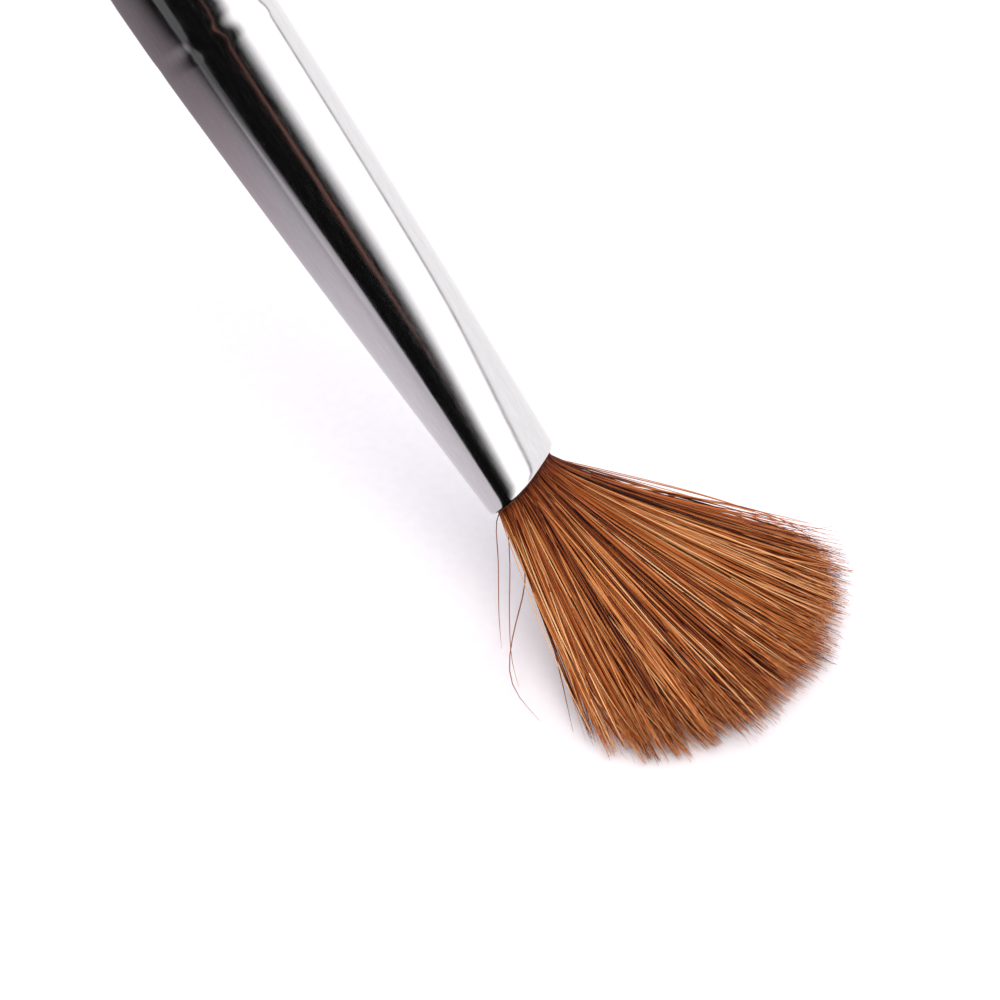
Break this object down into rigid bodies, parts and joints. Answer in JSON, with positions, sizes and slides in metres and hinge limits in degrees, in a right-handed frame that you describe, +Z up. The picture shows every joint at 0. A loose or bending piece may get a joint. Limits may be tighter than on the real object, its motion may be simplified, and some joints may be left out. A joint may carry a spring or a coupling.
{
  "type": "fine detail brush",
  "caption": "Round sable brush for fine detail work, leaning with its hair pressed out in a fan on a table; nickel ferrule, lacquered wood handle.",
  "frame": {"origin": "middle of the box round the brush, on the table that the hair tips touch", "axes": "+Z up from the table, -X the way that the handle leans, Y across the lean"},
  "size_m": [0.1464, 0.019, 0.1451],
  "materials": {
    "nickel_plated_brass": "nickel-plated brass sheet, drawn and polished, with fine turning marks",
    "lacquered_wood": "turned hardwood, stained red-brown under clear gloss lacquer",
    "set_glue": "set brush-maker's glue, slightly clear",
    "sable_hair": "red-brown sable hair, glossy, paler along the bellies and darker at the roots",
    "binding_thread": "waxed linen thread"
  },
  "bodies": {
    "brush": {"ferrule": "nickel_plated_brass", "handle": "lacquered_wood", "tenon_glue": "set_glue", "root_glue_plug": "set_glue", "hair_root_bundle": "sable_hair", "root_binding_thread": "binding_thread"},
    "tuft": {"hair_lock_01": "sable_hair", "hair_lock_02": "sable_hair", "hair_lock_03": "sable_hair", "hair_lock_04": "sable_hair", "hair_lock_05": "sable_hair", "hair_lock_06": "sable_hair", "hair_lock_07": "sable_hair", "hair_lock_08": "sable_hair", "hair_lock_09": "sable_hair", "hair_lock_10": "sable_hair", "hair_lock_11": "sable_hair", "hair_lock_12": "sable_hair", "hair_lock_13": "sable_hair", "hair_lock_14": "sable_hair", "hair_lock_15": "sable_hair", "hair_lock_16": "sable_hair", "hair_lock_17": "sable_hair", "hair_lock_18": "sable_hair", "hair_lock_19": "sable_hair", "hair_lock_20": "sable_hair", "hair_lock_21": "sable_hair", "hair_lock_22": "sable_hair"}
  },
  "joints": [
    {"name": "tuft_flex", "type": "hinge", "parent": "brush", "child": "tuft", "pos_m": [0.05606, -0.00314, 0.00951], "axis": [0.1691, -0.9724, 0.161], "range_deg": [0, 25], "stiffness_Nm_per_rad": 0.002}
  ]
}
